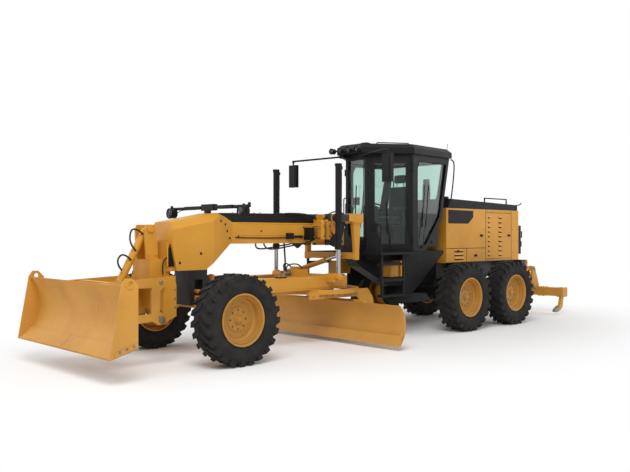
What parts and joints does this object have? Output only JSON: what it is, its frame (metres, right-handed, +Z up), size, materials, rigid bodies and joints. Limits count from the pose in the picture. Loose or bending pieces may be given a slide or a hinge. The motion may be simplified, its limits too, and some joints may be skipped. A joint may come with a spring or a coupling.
{
  "type": "motor grader",
  "caption": "Articulated motor grader with a front push blade, a turning and tilting centre moldboard on a drawbar circle, leaning front wheels and a rear ripper.",
  "frame": {"origin": "on the ground, under the middle of the machine's whole length and width", "axes": "+X forward, +Y to the driver's left, +Z up"},
  "size_m": [11.14, 3.66, 3.308],
  "materials": {
    "black_metal": "satin",
    "cab_paint": "satin",
    "chrome": "polished",
    "glass": "polished",
    "grey_metal": "matte",
    "plastic": "matte",
    "seat_cloth": "matte",
    "tyre": "matte",
    "yellow": "satin"
  },
  "bodies": {
    "rear": {"rear_frame": "yellow", "rear_axle": "yellow", "tandem_cases": "yellow", "engine": "grey_metal", "hood": "yellow", "hood_cover": "black_metal", "rear_guard": "black_metal"},
    "front": {"front_frame": "yellow", "front_axle": "yellow", "dozer_mount": "yellow", "lift_saddle": "yellow", "cab_frame": "cab_paint", "cab_glass": "glass", "cab_roof": "cab_paint", "cab_base": "black_metal", "seat": "seat_cloth", "console": "plastic", "lamps": "black_metal", "mirrors": "black_metal", "beam_cover": "black_metal", "valve_blocks": "yellow"},
    "wheel_mid_left": {"tyre_mid_left": "tyre", "rim_mid_left": "yellow"},
    "wheel_mid_right": {"tyre_mid_right": "tyre", "rim_mid_right": "yellow"},
    "wheel_rear_left": {"tyre_rear_left": "tyre", "rim_rear_left": "yellow"},
    "wheel_rear_right": {"tyre_rear_right": "tyre", "rim_rear_right": "yellow"},
    "wheel_front_left": {"tyre_front_left": "tyre", "rim_front_left": "yellow"},
    "wheel_front_right": {"tyre_front_right": "tyre", "rim_front_right": "yellow"},
    "yoke_left": {"lean_yoke_left": "yellow"},
    "knuckle_left": {"knuckle_left": "yellow"},
    "yoke_right": {"lean_yoke_right": "yellow"},
    "knuckle_right": {"knuckle_right": "yellow"},
    "lean_bar": {"lean_bar": "yellow"},
    "drawbar": {"drawbar": "yellow"},
    "lift_barrel_left": {"lift_barrel_left": "black_metal"},
    "lift_rod_left": {"lift_rod_left": "chrome"},
    "lift_barrel_right": {"lift_barrel_right": "black_metal"},
    "lift_rod_right": {"lift_rod_right": "chrome"},
    "centreshift_rod": {"centreshift_rod": "chrome"},
    "centreshift_barrel": {"centreshift_barrel": "yellow"},
    "circle": {"circle": "yellow"},
    "blade_carrier": {"blade_carrier": "yellow"},
    "moldboard": {"moldboard": "yellow"},
    "dozer_blade": {"dozer_blade": "yellow"},
    "dozer_barrel": {"dozer_barrel": "yellow"},
    "dozer_rod": {"dozer_rod": "chrome"},
    "ripper_lower_links": {"ripper_lower_links": "yellow"},
    "ripper_upper_links": {"ripper_upper_links": "yellow"},
    "ripper": {"ripper": "yellow"},
    "ripper_barrel": {"ripper_barrel": "black_metal"},
    "ripper_rod": {"ripper_rod": "chrome"},
    "door_left": {"door_left": "cab_paint", "door_glass_left": "glass"},
    "door_right": {"door_right": "cab_paint", "door_glass_right": "glass"}
  },
  "joints": [
    {"name": "articulation", "type": "hinge", "parent": "rear", "child": "front", "pos_m": [-1.34, 0, 1], "axis": [0, 0, 1], "range_deg": [-20, 20]},
    {"name": "spin_mid_left", "type": "hinge", "parent": "rear", "child": "wheel_mid_left", "pos_m": [-1.5515, 1.07, 0.61], "axis": [0, 1, 0], "continuous": true},
    {"name": "spin_mid_right", "type": "hinge", "parent": "rear", "child": "wheel_mid_right", "pos_m": [-1.5515, -1.07, 0.61], "axis": [0, 1, 0], "continuous": true},
    {"name": "spin_rear_left", "type": "hinge", "parent": "rear", "child": "wheel_rear_left", "pos_m": [-3.0625, 1.07, 0.61], "axis": [0, 1, 0], "continuous": true},
    {"name": "spin_rear_right", "type": "hinge", "parent": "rear", "child": "wheel_rear_right", "pos_m": [-3.0625, -1.07, 0.61], "axis": [0, 1, 0], "continuous": true},
    {"name": "spin_front_left", "type": "hinge", "parent": "knuckle_left", "child": "wheel_front_left", "pos_m": [3.61, 1.07, 0.61], "axis": [0, 1, 0], "continuous": true},
    {"name": "spin_front_right", "type": "hinge", "parent": "knuckle_right", "child": "wheel_front_right", "pos_m": [3.61, -1.07, 0.61], "axis": [0, 1, 0], "continuous": true},
    {"name": "lean_left", "type": "hinge", "parent": "front", "child": "yoke_left", "pos_m": [3.61, 0.735, 0.6], "axis": [1, 0, 0], "range_deg": [-18, 18]},
    {"name": "steer_left", "type": "hinge", "parent": "yoke_left", "child": "knuckle_left", "pos_m": [3.61, 0.868, 0.61], "axis": [0, 0, 1], "range_deg": [-47.5, 47.5]},
    {"name": "lean_right", "type": "hinge", "parent": "front", "child": "yoke_right", "pos_m": [3.61, -0.735, 0.6], "axis": [1, 0, 0], "range_deg": [-18, 18]},
    {"name": "steer_right", "type": "hinge", "parent": "yoke_right", "child": "knuckle_right", "pos_m": [3.61, -0.868, 0.61], "axis": [0, 0, 1], "range_deg": [-47.5, 47.5]},
    {"name": "lean_bar_pin", "type": "hinge", "parent": "yoke_left", "child": "lean_bar", "pos_m": [3.61, 0.735, 0.93], "axis": [1, 0, 0], "range_deg": [-18, 18]},
    {"name": "drawbar_lift", "type": "hinge", "parent": "front", "child": "drawbar", "pos_m": [3.26, 0, 1.08], "axis": [0, 1, 0], "range_deg": [-22.1, 9.8]},
    {"name": "lift_barrel_pin_left", "type": "hinge", "parent": "front", "child": "lift_barrel_left", "pos_m": [1.36, 0.75, 2], "axis": [0, 1, 0], "range_deg": [-3.4, 1.5]},
    {"name": "lift_rod_slide_left", "type": "slide", "parent": "lift_barrel_left", "child": "lift_rod_left", "axis": [0, 0, -1], "range_m": [-0.325, 0.725]},
    {"name": "lift_barrel_pin_right", "type": "hinge", "parent": "front", "child": "lift_barrel_right", "pos_m": [1.36, -0.75, 2], "axis": [0, 1, 0], "range_deg": [-3.4, 1.5]},
    {"name": "lift_rod_slide_right", "type": "slide", "parent": "lift_barrel_right", "child": "lift_rod_right", "axis": [0, 0, -1], "range_m": [-0.325, 0.725]},
    {"name": "centreshift_pin", "type": "hinge", "parent": "front", "child": "centreshift_rod", "pos_m": [0.895, 0.3, 1.39], "axis": [1, 0, 0], "range_deg": [-16.7, 37.6]},
    {"name": "centreshift_slide", "type": "slide", "parent": "centreshift_rod", "child": "centreshift_barrel", "axis": [0, -0.9654, -0.2607], "range_m": [-0.16, 0.36]},
    {"name": "circle_turn", "type": "hinge", "parent": "drawbar", "child": "circle", "pos_m": [1.21, 0, 0.836], "axis": [0, 0, 1], "continuous": true},
    {"name": "blade_tip", "type": "hinge", "parent": "circle", "child": "blade_carrier", "pos_m": [0.68, 0, 0.43], "axis": [0, 1, 0], "range_deg": [-5, 40]},
    {"name": "blade_sideshift", "type": "slide", "parent": "blade_carrier", "child": "moldboard", "axis": [0, -1, 0], "range_m": [-0.512, 0.663]},
    {"name": "dozer_lift", "type": "hinge", "parent": "front", "child": "dozer_blade", "pos_m": [4.378, 0, 0.613], "axis": [0, -1, 0], "range_deg": [-21, 15]},
    {"name": "dozer_barrel_pin", "type": "hinge", "parent": "front", "child": "dozer_barrel", "pos_m": [4.35, 0, 1.8], "axis": [0, -1, 0], "range_deg": [-0.5, 0.5]},
    {"name": "dozer_rod_slide", "type": "slide", "parent": "dozer_barrel", "child": "dozer_rod", "axis": [0.4856, 0, -0.8742], "range_m": [-0.145, 0.2]},
    {"name": "ripper_lift", "type": "hinge", "parent": "rear", "child": "ripper_lower_links", "pos_m": [-4.81, 0, 0.56], "axis": [0, 1, 0], "range_deg": [-38, 35]},
    {"name": "ripper_upper_pin", "type": "hinge", "parent": "rear", "child": "ripper_upper_links", "pos_m": [-4.81, 0, 0.985], "axis": [0, 1, 0], "range_deg": [-38, 35]},
    {"name": "ripper_beam_pin", "type": "hinge", "parent": "ripper_lower_links", "child": "ripper", "pos_m": [-5.29, 0, 0.56], "axis": [0, 1, 0], "range_deg": [-35, 38]},
    {"name": "ripper_barrel_pin", "type": "hinge", "parent": "rear", "child": "ripper_barrel", "pos_m": [-4.69, 0, 0.64], "axis": [0, 1, 0], "range_deg": [-23.2, 21.4]},
    {"name": "ripper_rod_slide", "type": "slide", "parent": "ripper_barrel", "child": "ripper_rod", "axis": [-0.8669, 0, 0.4985], "range_m": [-0.16, 0.147]},
    {"name": "door_hinge_left", "type": "hinge", "parent": "front", "child": "door_left", "pos_m": [-0.41346, 0.80823, 2.3], "axis": [0, 0, 1], "range_deg": [0, 95]},
    {"name": "door_hinge_right", "type": "hinge", "parent": "front", "child": "door_right", "pos_m": [-0.41346, -0.80823, 2.3], "axis": [0, 0, -1], "range_deg": [0, 95]}
  ],
  "couplings": [
    {"joint": "lean_right", "follows": "lean_left", "ratio": 1},
    {"joint": "steer_right", "follows": "steer_left", "ratio": 1},
    {"joint": "lean_bar_pin", "follows": "lean_left", "ratio": -1},
    {"joint": "lift_barrel_pin_left", "follows": "drawbar_lift", "ratio": 0.15},
    {"joint": "lift_rod_slide_left", "follows": "drawbar_lift", "m_per_rad": -1.87},
    {"joint": "lift_barrel_pin_right", "follows": "drawbar_lift", "ratio": 0.15},
    {"joint": "lift_rod_slide_right", "follows": "drawbar_lift", "m_per_rad": -1.87},
    {"joint": "centreshift_pin", "follows": "drawbar_lift", "ratio": -1.7},
    {"joint": "centreshift_slide", "follows": "drawbar_lift", "m_per_rad": -0.93},
    {"joint": "dozer_barrel_pin", "follows": "dozer_lift", "ratio": -0.02},
    {"joint": "dozer_rod_slide", "follows": "dozer_lift", "m_per_rad": -0.543},
    {"joint": "ripper_upper_pin", "follows": "ripper_lift", "ratio": 1},
    {"joint": "ripper_beam_pin", "follows": "ripper_lift", "ratio": -1},
    {"joint": "ripper_barrel_pin", "follows": "ripper_lift", "ratio": 0.61},
    {"joint": "ripper_rod_slide", "follows": "ripper_lift", "m_per_rad": 0.24}
  ]
}
